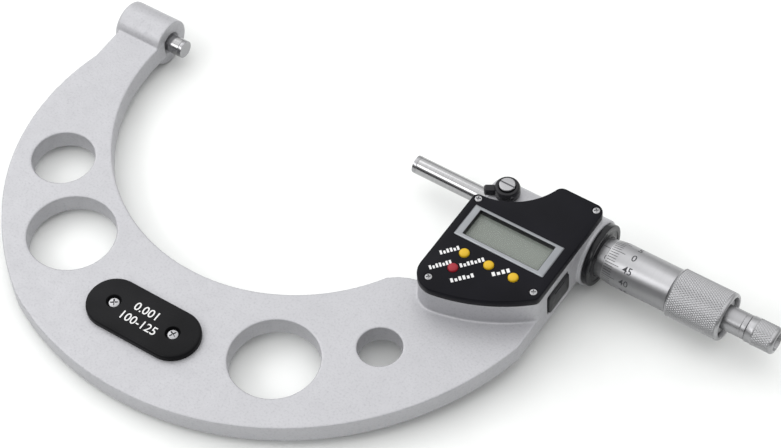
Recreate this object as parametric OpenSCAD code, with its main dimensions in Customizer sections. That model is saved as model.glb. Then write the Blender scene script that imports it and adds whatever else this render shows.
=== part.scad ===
// Outside micrometer, digital, 100 to 125 mm, as an assembly of separate sub-parts.
// Millimetres. Origin: middle of the anvil's measuring face, on the spindle axis.
// +X runs from the anvil to the thimble, +Z out of the front face, the bow hangs towards -Y.

/* [Measuring line] */
// distance between the measuring faces in the rest pose
gap = 100; // [100:0.5:102]
// spindle and anvil diameter
pin_d = 6.5; // [6.35:0.05:6.6]
// thickness of the hard-metal measuring tips
tip_t = 1.5; // [1:0.1:2.5]

/* [Frame] */
// thickness of the bow
bow_t = 7.7; // [7:0.1:8.2]
// radius of the throat of the bow
throat_r = 68.16; // [67:0.1:69]
// outer radius of the lower right of the bow
outer_r = 107.4; // [106.5:0.1:108.5]
// radius of the anvil boss
boss_r = 8.5; // [8:0.1:9]
// left end of the anvil boss
boss_x0 = -25.8; // [-27:0.1:-25]
// radii of the four lightening holes
hole_1_r = 11.08; // [9:0.1:12]
hole_2_r = 15.5; // [13:0.1:16]
hole_3_r = 15.5; // [13:0.1:16]
hole_4_r = 7.6; // [6:0.1:8.5]

/* [Display housing] */
// height of the metal rim above the spindle axis
rim_z = 13; // [12.6:0.1:13.4]
// thickness of the plastic front cover
cover_t = 3; // [2.8:0.1:3.4]
// wall thickness of the housing
wall = 2.2; // [2:0.1:2.5]
// nose boss radius around the spindle
nose_r = 8.8; // [8.4:0.1:9.2]
// rear boss radius behind the flange ring
rear_r = 12; // [11.6:0.1:12.4]

/* [Thimble] */
// sleeve outer radius
sleeve_r = 7.1; // [7.05:0.01:7.15]
// thimble outer radius
thimble_r = 7.8; // [7.7:0.05:8]
// knurled grip outer radius
grip_r = 8.65; // [8.4:0.05:9]
// ratchet knob outer radius
knob_r = 4.8; // [4.6:0.05:5.2]

/* [Insulating plates] */
// length of a plate
plate_l = 43.7; // [40:0.1:46]
// width of a plate
plate_w = 19.4; // [18:0.1:20]
// thickness of a plate
plate_t = 2.4; // [2:0.1:3]

/* [Buttons] */
// radius of a button
button_r = 1.8; // [1.7:0.05:2.1]
// height of a button above the cover
button_h = 0.9; // [0.7:0.05:1.2]

/* [Hidden] */
$fn = 96;
// small overlap or gap between two faces that meet
e = 0.01;
// running clearance between a pin and its bore
fit = 0.07;
hb = bow_t / 2;
pin_r = pin_d / 2;
cover_z = rim_z + cover_t;

yellow = [0.95, 0.75, 0.15];
red = [0.62, 0.12, 0.15];

// outline of the display housing: circles that its edges follow
low_c = [130.27, 10.11];
low_r = 62.2;
hollow_c = [132.4, 12.8];
hollow_r = 22.4;
hx0 = 131;
hx1 = 172;
// the drawer's front stands a little proud of the housing
drawer_x1 = hx1 + 0.6;
hy1 = 7.3;

// convex corners of that outline: centre and radius
bl_r = 8;
bl_c = [hx0 + bl_r, low_c.y - sqrt(pow(low_r - bl_r, 2) - pow(hx0 + bl_r - low_c.x, 2))];
br_r = 3;
br_c = [hx1 - br_r, low_c.y - sqrt(pow(low_r - br_r, 2) - pow(hx1 - br_r - low_c.x, 2))];
tr_r = 3.5;
tr_c = [hx1 - tr_r, hy1 - tr_r];
tl_r = 3;
tl_y = hy1 - tl_r;
tl_c = [hollow_c.x + sqrt(pow(hollow_r + tl_r, 2) - pow(tl_y - hollow_c.y, 2)), tl_y];
lu_r = 2.2;
lu_x = hx0 + lu_r;
lu_c = [lu_x, hollow_c.y - sqrt(pow(hollow_r + lu_r, 2) - pow(lu_x - hollow_c.x, 2))];

// cover screws, buttons, display and clamp positions
screw_at = [[133.3, -11.5], [169.5, 4.8], [169.2, -34.4], [136.6, -47.2]];
button_at = [[141.5, -33], [151, -33], [160.5, -33], [141.5, -40]];
lcd_c = [151.35, -21];
clamp_x = 137.4;
lever_a = 211;
knob_z = 13;

// stations along the spindle axis
anvil_x0 = boss_x0 + 2;
boss_x1 = -6.5;
nose_x0 = 130.5;
nose_x1 = 150;
cone_x1 = 156;
bush_x1 = 150;
chamber_x0 = 154.2;
chamber_x1 = 169.8;
barrel_x0 = 168;
barrel_x1 = 204;
flange_x0 = 173.3;
flange_x1 = 175.4;
thimble_x0 = 178.5;
grip_x0 = 203;
grip_x1 = 223.4;
sleeve_x1 = 206;
hub_x0 = 208;
neck_x0 = 221.2;
neck_x1 = 231;
spring_x0 = 224;
knob_x0 = 231.1;
knob_x1 = 241.6;
head_x0 = 238.87;
head_x1 = 240.5;

// radii about the spindle axis
chamfer = 0.8;
bush_r = 5.4;
chamber_r = 10;
barrel_r = 5.6;
seat_r = 7.6;
bore_r = 6.5;
hub_r = 5;
flange_r = 11.3;
neck_r = 4.4;
stud_r = 1.5;
recess_r = 7.3;
knob_recess_r = 3.3;

// screws: radius of the shank, and of the head
cover_screw_r = 0.8;
cover_head_r = 1.4;
cover_screw_z = 7.4;
post_r = 2.5;
board_screw_r = 0.7;
board_screw_at = [[134.6, -30], [165, -30]];
clamp_screw_r = 1.5;
clamp_head_r = 2.8;
plate_screw_r = 1.25;
plate_head_r = 2.1;

// gasket in its groove under the cover: inset of its outer and inner edge
gasket_out = 0.4;
gasket_in = 1.0;
gasket_t = 0.4;

// display window
window_l = 29.4;
window_w = 11.4;

// circuit board
board_z0 = 8.5;
board_z1 = 9.5;

// insulating plates
plate_c = [60.85, -105];
plate_screw_dx = 12.25;

// battery drawer
bay_c = [163.7, -23.65];
bay_w = 12.7;
bay_z1 = 9.3;
cell_r = 5.8;
cell_h = 5.4;

// direction from one point to another, in degrees; directions below the line count past 180
function toward(a, b) = let (t = atan2(b.y - a.y, b.x - a.x)) t < 0 ? t + 360 : t;

// points of an arc from angle a0 to a1 in n steps, without its last point
function arc(c, r, a0, a1, n) = let (turn = a1 == 0 ? 360 : a1)
  [for (i = [0:n - 1]) let (t = a0 + (turn - a0) * i / n) c + r * [cos(t), sin(t)]];

// ---------- helpers ----------
module rod(x0, x1, r) {
  translate([x0, 0, 0]) rotate([0, 90, 0]) cylinder(h = x1 - x0, r = r);
}

module tube(x0, x1, r, ri) {
  difference() {
    rod(x0, x1, r);
    rod(x0 - 1, x1 + 1, ri);
  }
}

// solid of revolution about the spindle axis; points are [radius, x]
module turned(pts) {
  rotate([0, 90, 0]) rotate_extrude() polygon(pts);
}

module box(a, b) {
  translate(a) cube(b - a);
}

module slab(z0, z1) {
  translate([0, 0, z0]) linear_extrude(z1 - z0) children();
}

module dot_at(c, r) {
  translate(c) circle(r);
}

// outline of the display housing, moved inwards by d
module house_2d(d) {
  polygon(concat(
    arc(bl_c, bl_r - d, 180, toward(low_c, bl_c), 9),
    arc(low_c, low_r - d, toward(low_c, bl_c), toward(low_c, br_c), 9),
    arc(br_c, br_r - d, toward(low_c, br_c), 0, 6),
    arc(tr_c, tr_r - d, 0, 90, 8),
    arc(tl_c, tl_r - d, 90, toward(tl_c, hollow_c), 7),
    arc(hollow_c, hollow_r + d, toward(hollow_c, tl_c), toward(hollow_c, lu_c), 11),
    arc(lu_c, max(lu_r - d, 0.1), toward(lu_c, hollow_c), 180, 6)
  ));
}

// flat outline of the bow
module bow_2d() {
  difference() {
    intersection() {
      dot_at([67.5, -24], outer_r);
      union() {
        // left side: a tighter circle, then a wider one below it
        intersection() {
          dot_at([56.2, -42.7], 83);
          translate([-40, -140]) square([100, 136]);
        }
        intersection() {
          dot_at([74.08, -32.95], 103.09);
          translate([-40, -140]) square([110, 50]);
        }
        // right side, up to the housing's outer wall
        translate([50, -140]) square([hx1 - 50, 136]);
        // neck under the anvil boss
        translate([-24, -26]) square([14, 24]);
      }
    }
    dot_at([61.83, -11.7], throat_r);
    polygon([
      [40, 30], [134, 30], [134, -41.5], [126, -44], [122.8, -45.5],
      [120.2, -47.4], [116, -47.6], [110, -44], [40, -20]
    ]);
    dot_at([-5.07, -64.41], hole_1_r);
    dot_at([17.58, -88.74], hole_2_r);
    dot_at([106.38, -94.41], hole_3_r);
    dot_at([133.33, -72.17], hole_4_r);
  }
}

// rectangle around the display window, longer and wider than it by dl and dw
module at_display(dl, dw) {
  translate(lcd_c) square([window_l + dl, window_w + dw], center = true);
}

// cross recess cut into a screw head whose top is at z
module cross_cut(c, z, l, w, h) {
  translate([c.x, c.y, z - h / 2 + e]) {
    cube([l, w, h], center = true);
    cube([w, l, h], center = true);
  }
}

module plate_2d(d) {
  hull_l = plate_l - plate_w;
  translate(plate_c) {
    square([hull_l, plate_w - 2 * d], center = true);
    for (s = [-1, 1])
      translate([s * hull_l / 2, 0]) circle(plate_w / 2 - d);
  }
}

// ---------- frame ----------
module frame() {
  color([0.80, 0.80, 0.82])
  difference() {
    union() {
      slab(-hb, hb) bow_2d();
      turned([
        [0, boss_x0], [boss_r - chamfer, boss_x0], [boss_r, boss_x0 + chamfer],
        [boss_r, boss_x1], [0, boss_x1]
      ]);
      slab(-hb, rim_z) house_2d(0);
      turned([
        [0, nose_x0], [nose_r - chamfer, nose_x0], [nose_r, nose_x0 + chamfer],
        [nose_r, nose_x1], [rear_r, cone_x1], [rear_r, flange_x0 - 0.1], [0, flange_x0 - 0.1]
      ]);
    }
    // anvil bore with its relief at the mouth
    rod(anvil_x0, 0, pin_r + e);
    rod(boss_x1 - 0.8, 0, pin_r + 0.8);
    // inside of the housing, leaving the screw posts standing
    difference() {
      slab(-hb + wall, rim_z + 1) house_2d(wall);
      for (p = screw_at) slab(-hb, rim_z) dot_at(p, post_r);
      rod(nose_x0, chamber_x0, nose_r);
      rod(chamber_x1, flange_x0, rear_r);
    }
    // encoder chamber
    rod(chamber_x0, chamber_x1, chamber_r);
    // spindle bush bore and barrel seat
    rod(nose_x0 - 1, chamber_x0 + 1, bush_r + e);
    rod(chamber_x1 - 1, flange_x0 + 1, seat_r + e);
    // threads of the cover screws
    for (p = screw_at) slab(cover_screw_z - 0.5, rim_z + 1) dot_at(p, cover_screw_r + e);
    // gasket groove in the rim
    slab(rim_z - gasket_t, rim_z + 1) difference() {
      house_2d(gasket_out - 0.05);
      house_2d(gasket_in + 0.05);
    }
    // window for the battery drawer
    box([168, bay_c.y - bay_w / 2 - 0.08, -0.08], [175, bay_c.y + bay_w / 2 + 0.08, bay_z1 + 0.08]);
    // clamp screw hole
    translate([clamp_x, 0, 4]) cylinder(h = 8, r = clamp_screw_r + 0.11);
    // threads of the plate screws
    for (s = [-1, 1], side = [0, 1])
      translate([plate_c.x + s * plate_screw_dx, plate_c.y, 0])
        mirror([0, 0, side]) translate([0, 0, 0.6]) cylinder(h = 5, r = plate_screw_r + e);
  }
}

// ---------- measuring line ----------
module anvil() {
  color([0.72, 0.73, 0.74])
  turned([[0, anvil_x0 + 0.1], [pin_r, anvil_x0 + 0.1], [pin_r, -tip_t - e], [0, -tip_t - e]]);
}

module tip(x0, x1) {
  color([0.45, 0.46, 0.47]) rod(x0, x1, pin_r - 0.02);
}

module anvil_tip() tip(-tip_t, 0);

module spindle_tip() tip(gap, gap + tip_t);

module spindle() {
  color([0.72, 0.73, 0.74])
  difference() {
    rod(gap + tip_t + e, neck_x0 - 0.2, pin_r);
    // groove for the encoder key
    box([132, -0.6, pin_r - 0.8], [166, 0.6, pin_r + 1]);
    // thread for the ratchet stud
    rod(212.5, neck_x0 + 1, stud_r + e);
  }
}

module nose_bush() {
  color([0.55, 0.55, 0.56])
  difference() {
    tube(nose_x0 + 0.6, bush_x1, bush_r, pin_r + fit);
    translate([clamp_x, 0, 0]) cylinder(h = 8, r = 1.27);
  }
}

module barrel() {
  color([0.60, 0.60, 0.61])
  difference() {
    turned([
      [0, barrel_x0], [barrel_r, barrel_x0], [barrel_r, chamber_x1], [seat_r, chamber_x1],
      [seat_r, flange_x0 - 0.1], [bore_r, flange_x0 - 0.1], [bore_r, 180], [barrel_r, 180],
      [barrel_r, barrel_x1], [0, barrel_x1]
    ]);
    rod(barrel_x0 - 1, barrel_x1 + 1, pin_r + fit);
    // slits of the adjustable nut end
    for (a = [0, 60, 120]) rotate([a, 0, 0])
      box([192, -barrel_r - 1, -0.4], [barrel_x1 + 1, barrel_r + 1, 0.4]);
  }
}

module adjusting_nut() {
  color([0.50, 0.50, 0.51]) tube(197.5, 201.5, bore_r - 0.1, barrel_r + 2 * e);
}

module sleeve() {
  color([0.70, 0.71, 0.73]) tube(flange_x0, sleeve_x1, sleeve_r, bore_r + 2 * e);
}

module flange_ring() {
  color([0.08, 0.08, 0.09])
  turned([
    [sleeve_r + 0.02, flange_x0], [flange_r - 0.3, flange_x0], [flange_r, flange_x0 + 0.3],
    [flange_r, flange_x1 - 0.3], [flange_r - 0.3, flange_x1], [7.7, flange_x1],
    [7.7, flange_x1 + 0.3], [sleeve_r + 0.02, flange_x1 + 0.3]
  ]);
}

module thimble() {
  color([0.76, 0.77, 0.79])
  turned([
    [sleeve_r + fit, thimble_x0], [sleeve_r + 0.2, thimble_x0], [thimble_r, 182.2],
    [thimble_r, grip_x0], [grip_r - 0.2, grip_x0], [grip_r, grip_x0 + 0.7],
    [grip_r, grip_x1 - 0.7], [grip_r - 0.6, grip_x1], [recess_r, grip_x1], [recess_r, neck_x0 - 0.1],
    [pin_r + e, neck_x0 - 0.1], [pin_r + e, hub_x0], [sleeve_r + fit, hub_x0]
  ]);
}

// ---------- ratchet ----------
module ratchet_neck() {
  color([0.72, 0.73, 0.75])
  turned([
    [stud_r + 0.02, neck_x0], [6.2, neck_x0], [6.2, neck_x0 + 1], [neck_r, neck_x0 + 1],
    [neck_r, neck_x1], [neck_r - 1, neck_x1], [neck_r - 1, spring_x0], [stud_r + 0.02, spring_x0]
  ]);
}

module ratchet_plunger() {
  color([0.60, 0.55, 0.40]) tube(228.6, neck_x1 - 0.05, neck_r - 1 - fit, stud_r + fit);
}

// wave spring: rings tilted to and fro, each touching the next
module ratchet_spring() {
  color([0.65, 0.66, 0.67])
  for (i = [0:3])
    translate([spring_x0 + 0.75 + i * 0.97, 0, 0]) rotate([0, 90 + (i % 2 == 0 ? 9 : -9), 0])
      rotate_extrude() translate([2.45, 0]) circle(0.32);
}

module ratchet_knob() {
  color([0.74, 0.75, 0.77])
  turned([
    [stud_r + fit, knob_x0], [knob_r - 0.5, knob_x0], [knob_r, knob_x0 + 0.5],
    [knob_r, knob_x1 - 0.6], [knob_r - 0.6, knob_x1], [knob_recess_r, knob_x1],
    [knob_recess_r, head_x0 - fit], [stud_r + fit, head_x0 - fit]
  ]);
}

module ratchet_stud() {
  color([0.35, 0.35, 0.36])
  difference() {
    turned([[0, 213], [stud_r, 213], [stud_r, head_x0], [2.7, head_x0], [2.7, head_x1], [0, head_x1]]);
    box([head_x1 - 0.5, -4, -0.35], [head_x1 + 1, 4, 0.35]);
  }
}

// ---------- encoder ----------
module encoder_stator() {
  color([0.10, 0.30, 0.18]) tube(155.6, 156.6, chamber_r - 0.02, 5.8);
}

module encoder_rotor() {
  color([0.12, 0.34, 0.20]) tube(157.1, 158.1, 9.2, hub_r + e);
}

module rotor_hub() {
  color([0.78, 0.66, 0.36])
  difference() {
    union() {
      rod(bush_x1 + 0.1, barrel_x0 - 0.1, hub_r);
      rod(158.11, 160, 6.4);
    }
    rod(bush_x1 - 1, barrel_x0 + 1, pin_r + fit);
    box([159.95, -0.56, 0], [163.05, 0.56, 6]);
  }
}

module rotor_key() {
  color([0.40, 0.40, 0.41]) box([160, -0.55, pin_r - 0.7], [163, 0.55, 4.9]);
}

// ---------- display unit ----------
module front_cover() {
  color([0.13, 0.13, 0.14])
  difference() {
    union() {
      slab(rim_z, cover_z - 0.5) house_2d(0);
      slab(cover_z - 0.51, cover_z) house_2d(0.35);
    }
    // recess and opening for the display
    slab(cover_z - 0.4, cover_z + 1) at_display(5.34, 2.64);
    slab(rim_z - 1, cover_z + 1) at_display(3.8, 1.4);
    for (p = button_at) {
      slab(rim_z - 1, cover_z + 1) dot_at(p, button_r + 0.08);
    }
    for (p = screw_at) {
      slab(rim_z - 1, cover_z + 1) dot_at(p, cover_screw_r + 0.15);
      slab(cover_z - 0.9, cover_z + 1) dot_at(p, cover_head_r + 0.2);
    }
  }
}

module cover_gasket() {
  color([0.05, 0.05, 0.05])
  slab(rim_z - gasket_t, rim_z) difference() {
    house_2d(gasket_out);
    house_2d(gasket_in);
  }
}

module cover_screws() {
  color([0.78, 0.78, 0.80])
  for (p = screw_at) difference() {
    union() {
      slab(cover_screw_z, cover_z - 0.85) dot_at(p, cover_screw_r);
      slab(cover_z - 0.89, cover_z - 0.1) dot_at(p, cover_head_r);
      slab(cover_z - 0.11, cover_z + 0.1) dot_at(p, cover_head_r - 0.3);
    }
    cross_cut(p, cover_z + 0.1, 1.7, 0.4, 0.6);
  }
}

module lcd_bezel() {
  color([0.78, 0.79, 0.81])
  difference() {
    union() {
      slab(cover_z + 0.1, cover_z + 0.4) at_display(4.7, 2);
      slab(cover_z - 0.4, cover_z + 0.11) at_display(5.3, 2.6);
      slab(cover_z - 1.1, cover_z - 0.39) at_display(3.7, 1.3);
    }
    slab(cover_z - 2, cover_z + 1) at_display(0, 0);
  }
}

module lcd_window() {
  color([0.85, 0.90, 0.88, 0.4])
  slab(cover_z - 1.7, cover_z - 1.11) at_display(3.7, 1.3);
}

module lcd_panel() {
  color([0.54, 0.57, 0.53])
  slab(cover_z - 3.1, cover_z - 1.72) at_display(3.6, 1.2);
}

module lcd_strips() {
  color([0.85, 0.45, 0.55])
  for (s = [-1, 1])
    slab(board_z1 + e, cover_z - 3.11) translate(lcd_c + [0, s * 5.3]) square([30, 1.6], center = true);
}

module circuit_board() {
  color([0.08, 0.32, 0.16])
  slab(board_z0, board_z1) difference() {
    intersection() {
      house_2d(wall + 0.4);
      translate([125, -60]) square([44, 47.6]);
    }
    for (p = screw_at) dot_at(p, post_r + 0.3);
    for (p = board_screw_at) dot_at(p, board_screw_r + 0.02);
    // notch over the battery drawer front
    translate([168.4, -32]) square([3, 20]);
  }
}

module board_screws() {
  color([0.75, 0.75, 0.76])
  for (p = board_screw_at) difference() {
    union() {
      slab(7.2, board_z1 + 0.1) dot_at(p, board_screw_r);
      slab(board_z1 + e, board_z1 + 0.8) dot_at(p, 1.2);
    }
    cross_cut(p, board_z1 + 0.8, 1.4, 0.35, 0.5);
  }
}

// rubber sheet with one dome under each button
module keypad_mat() {
  color([0.30, 0.30, 0.31])
  union() {
    slab(board_z1 + e, board_z1 + 0.8) {
      translate([137.6, -37]) square([25.6, 7.8]);
      translate([137.6, -43.6]) square([8.9, 7]);
    }
    for (p = button_at) slab(board_z1 + 0.7, board_z1 + 1.4) dot_at(p, 1.6);
  }
}

module button(p, c) {
  color(c)
  translate([p.x, p.y, 0]) rotate_extrude() polygon([
    [0, 11.6], [2.6, 11.6], [2.6, rim_z - 0.75], [button_r, rim_z - 0.75],
    [button_r, cover_z + button_h * 0.45], [button_r * 0.92, cover_z + button_h * 0.7],
    [button_r * 0.72, cover_z + button_h * 0.88], [button_r * 0.4, cover_z + button_h],
    [0, cover_z + button_h]
  ]);
}

module button_left() button(button_at[0], yellow);

module button_middle() button(button_at[1], yellow);

module button_right() button(button_at[2], yellow);

module button_lower() button(button_at[3], red);

// ---------- battery ----------
module battery_drawer() {
  color([0.09, 0.09, 0.10])
  difference() {
    union() {
      box([170.4, bay_c.y - bay_w / 2, 0], [drawer_x1, bay_c.y + bay_w / 2, bay_z1]);
      box([156.6, bay_c.y - bay_w / 2, 0], [170.41, bay_c.y + bay_w / 2, 6.6]);
    }
    translate([bay_c.x, bay_c.y, 1]) cylinder(h = 20, r = cell_r + 0.08);
    // finger notch in the front plate
    box([drawer_x1 - 0.5, bay_c.y - 3, bay_z1 - 1.2], [drawer_x1 + 1, bay_c.y + 3, bay_z1 - 0.6]);
  }
}

module battery() {
  color([0.75, 0.76, 0.77])
  translate([bay_c.x, bay_c.y, 1.02]) {
    cylinder(h = cell_h - 0.6, r = cell_r);
    cylinder(h = cell_h, r = cell_r - 1);
  }
}

// two leaf springs under the board above the cell
module battery_contacts() {
  color([0.80, 0.70, 0.40])
  for (s = [-1, 1]) {
    box([158, bay_c.y + s * 3 - 0.8, 8.1], [159.6, bay_c.y + s * 3 + 0.8, 8.49]);
    box([158, bay_c.y + s * 3 - 0.8, 7.2], [158.3, bay_c.y + s * 3 + 0.8, 8.11]);
    box([158, bay_c.y + s * 3 - 0.8, 6.9], [164, bay_c.y + s * 3 + 0.8, 7.21]);
  }
}

// ---------- spindle clamp ----------
module clamp_knob() {
  color([0.07, 0.07, 0.08])
  translate([clamp_x, 0, 0]) difference() {
    union() {
      rotate_extrude() polygon([
        [0, 8.95], [4.53, 8.95], [4.53, knob_z - 1], [4.35, knob_z - 0.4],
        [3.9, knob_z], [0, knob_z]
      ]);
      rotate([0, 0, lever_a]) translate([2, -1.4, 9.15]) cube([6, 2.8, 3]);
      rotate([0, 0, -37]) translate([3.5, 0, 11.4]) rotate([0, 90, 0]) cylinder(h = 1.6, r = 0.8);
    }
    translate([0, 0, 5]) cylinder(h = 10, r = clamp_screw_r + e);
    translate([0, 0, knob_z - 0.9]) cylinder(h = 3, r = clamp_head_r + 0.15);
  }
}

module clamp_screw() {
  color([0.80, 0.81, 0.82])
  translate([clamp_x, 0, 0]) difference() {
    union() {
      translate([0, 0, 5.7]) cylinder(h = 7, r = clamp_screw_r);
      translate([0, 0, knob_z - 0.89]) cylinder(h = 1.59, r = clamp_head_r);
      translate([0, 0, knob_z + 0.69]) cylinder(h = 0.31, r1 = clamp_head_r, r2 = clamp_head_r - 0.3);
    }
    translate([-4, -0.3, knob_z + 0.3]) cube([8, 0.6, 2]);
  }
}

module clamp_plug() {
  color([0.78, 0.62, 0.30])
  intersection() {
    translate([clamp_x, 0, pin_r + 0.1]) cylinder(h = 5.6 - pin_r - 0.1, r = 1.25);
    rod(100, 150, 9);
  }
}

// ---------- insulating plates ----------
module plate() {
  difference() {
    union() {
      slab(hb, hb + plate_t - 0.7) plate_2d(0);
      slab(hb + plate_t - 0.71, hb + plate_t) plate_2d(0.5);
    }
    for (s = [-1, 1]) translate([plate_c.x + s * plate_screw_dx, plate_c.y, 0]) {
      cylinder(h = 20, r = plate_screw_r + 0.1);
      translate([0, 0, hb + 0.7]) cylinder(h = plate_t, r = plate_head_r + 0.5);
    }
  }
}

module plate_screws() {
  for (s = [-1, 1]) {
    p = [plate_c.x + s * plate_screw_dx, plate_c.y];
    difference() {
      union() {
        slab(0.8, hb + 0.75) dot_at(p, plate_screw_r);
        slab(hb + 0.71, hb + 1.7) dot_at(p, plate_head_r);
      }
      cross_cut(p, hb + 1.7, 2.6, 0.6, 0.7);
    }
  }
}

module plate_front() color([0.12, 0.12, 0.12]) plate();

module plate_back() color([0.12, 0.12, 0.12]) mirror([0, 0, 1]) plate();

module plate_screws_front() color([0.70, 0.70, 0.71]) plate_screws();

module plate_screws_back() color([0.70, 0.70, 0.71]) mirror([0, 0, 1]) plate_screws();

// ---------- drawing ----------
frame();
anvil();
anvil_tip();
spindle();
spindle_tip();
nose_bush();
barrel();
adjusting_nut();
sleeve();
flange_ring();
thimble();
ratchet_neck();
ratchet_plunger();
ratchet_spring();
ratchet_knob();
ratchet_stud();
encoder_stator();
encoder_rotor();
rotor_hub();
rotor_key();
front_cover();
cover_gasket();
cover_screws();
lcd_bezel();
lcd_window();
lcd_panel();
lcd_strips();
circuit_board();
board_screws();
keypad_mat();
button_left();
button_middle();
button_right();
button_lower();
battery_drawer();
battery();
battery_contacts();
clamp_knob();
clamp_screw();
clamp_plug();
plate_front();
plate_back();
plate_screws_front();
plate_screws_back();
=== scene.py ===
"""Outside micrometer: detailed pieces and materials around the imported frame.

Sizes are in millimetres in the object's own frame; MM turns them into metres.
"""

import math

import bmesh
import bpy
from mathutils import Matrix, Vector


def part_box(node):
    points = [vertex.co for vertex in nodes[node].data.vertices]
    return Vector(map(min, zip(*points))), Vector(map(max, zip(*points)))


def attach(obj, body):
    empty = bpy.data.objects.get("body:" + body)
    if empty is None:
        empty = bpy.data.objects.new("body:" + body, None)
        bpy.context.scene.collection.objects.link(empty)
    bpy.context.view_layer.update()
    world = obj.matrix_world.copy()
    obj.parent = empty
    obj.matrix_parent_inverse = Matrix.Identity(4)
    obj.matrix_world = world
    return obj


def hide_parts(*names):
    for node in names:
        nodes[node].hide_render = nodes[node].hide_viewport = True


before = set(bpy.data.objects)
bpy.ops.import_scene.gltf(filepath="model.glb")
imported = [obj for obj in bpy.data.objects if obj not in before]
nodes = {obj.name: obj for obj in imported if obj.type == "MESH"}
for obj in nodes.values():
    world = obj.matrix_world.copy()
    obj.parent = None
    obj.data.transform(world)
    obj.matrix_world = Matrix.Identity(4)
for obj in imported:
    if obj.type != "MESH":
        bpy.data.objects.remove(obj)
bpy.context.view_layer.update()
MM = 0.001
TAU = 2 * math.pi
TINY = 1e-6
SAME_PLACE = 1e-5
SHARP = 38


def cad(node):
    """Lowest and highest corner of a CAD node, in millimetres."""
    low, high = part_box(node)
    return low / MM, high / MM


# ---------- places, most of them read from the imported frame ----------
PIN_R = cad("anvil")[1].z
BOW_HALF = 3.85
COVER_LOW, COVER_HIGH = cad("front_cover")
RIM_Z = COVER_LOW.z
COVER_Z = COVER_HIGH.z
LCD_LOW, LCD_HIGH = cad("lcd_bezel")
LCD = (LCD_LOW + LCD_HIGH) / 2
WINDOW = (29.4, 11.4)
SLEEVE_LOW, SLEEVE_HIGH = cad("sleeve")
SLEEVE_R = SLEEVE_HIGH.z
FLANGE_LOW, FLANGE_HIGH = cad("flange_ring")
THIMBLE_LOW, THIMBLE_HIGH = cad("thimble")
THIMBLE_R = 7.8
GRIP_R = THIMBLE_HIGH.z
GRIP_X = 203.0
BEVEL_X = 182.2
KNOB_LOW, KNOB_HIGH = cad("ratchet_knob")
CLAMP = Vector((137.4, 0.0, 0.0))
KNOB_TOP = cad("clamp_knob")[1].z
PLATE_LOW, PLATE_HIGH = cad("plate_front")
PLATE = (PLATE_LOW + PLATE_HIGH) / 2
PLATE_SIZE = PLATE_HIGH - PLATE_LOW
PLATE_SCREW_DX = 12.25
DRAWER_LOW, DRAWER_HIGH = cad("battery_drawer")
CELL_LOW, CELL_HIGH = cad("battery")
COVER_SCREWS = ((133.3, -11.5), (169.5, 4.8), (169.2, -34.4), (136.6, -47.2))
SCREW_TURNS = (0.35, 0.7, 0.55, 0.75)
BUTTON_R = 1.8
INDEX_ANGLE = math.radians(94)
BUTTONS = ("button_left", "button_middle", "button_right", "button_lower")
LINE_W = 0.2
# marks stand this far above a surface and reach this far into it
MARK_RISE = 0.012
MARK_ROOT = 0.02


# ---------- outlines ----------
def circle(centre, radius, count=48):
    """Function from an outward step to the points of a circle."""
    def points(grow):
        r = radius + grow
        turns = [TAU * i / count for i in range(count)]
        return [(centre[0] + r * math.cos(t), centre[1] + r * math.sin(t)) for t in turns]
    return points


def rectangle(centre, length, width, corner, steps=6):
    """Function from an outward step to the points of a rectangle with round corners."""
    def points(grow):
        r = max(corner + grow, 0.02)
        dx = length / 2 + grow - r
        dy = width / 2 + grow - r
        out = []
        for k, (sx, sy) in enumerate(((1, 1), (-1, 1), (-1, -1), (1, -1))):
            for i in range(steps + 1):
                a = math.pi / 2 * (k + i / steps)
                out.append((centre[0] + sx * dx + r * math.cos(a), centre[1] + sy * dy + r * math.sin(a)))
        return out
    return points


def plus(centre, length, width, angle):
    """Function from an outward step to the points of a plus sign, the mouth of a cross recess."""
    def points(grow):
        a = length / 2 + grow
        b = width / 2 + grow
        corners = ((a, -b), (a, b), (b, b), (b, a), (-b, a), (-b, b),
                   (-a, b), (-a, -b), (-b, -b), (-b, -a), (b, -a), (b, -b))
        c, s = math.cos(angle), math.sin(angle)
        return [(centre[0] + x * c - y * s, centre[1] + x * s + y * c) for x, y in corners]
    return points


def arc(centre, radius, start, end, count):
    """Points of an arc in degrees, without its last one."""
    turns = [math.radians(start + (end - start) * i / count) for i in range(count)]
    return [(centre[0] + radius * math.cos(t), centre[1] + radius * math.sin(t)) for t in turns]


def toward(a, b):
    """Direction from a to b in degrees, from 0 to 360."""
    return math.degrees(math.atan2(b[1] - a[1], b[0] - a[0])) % 360


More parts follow.
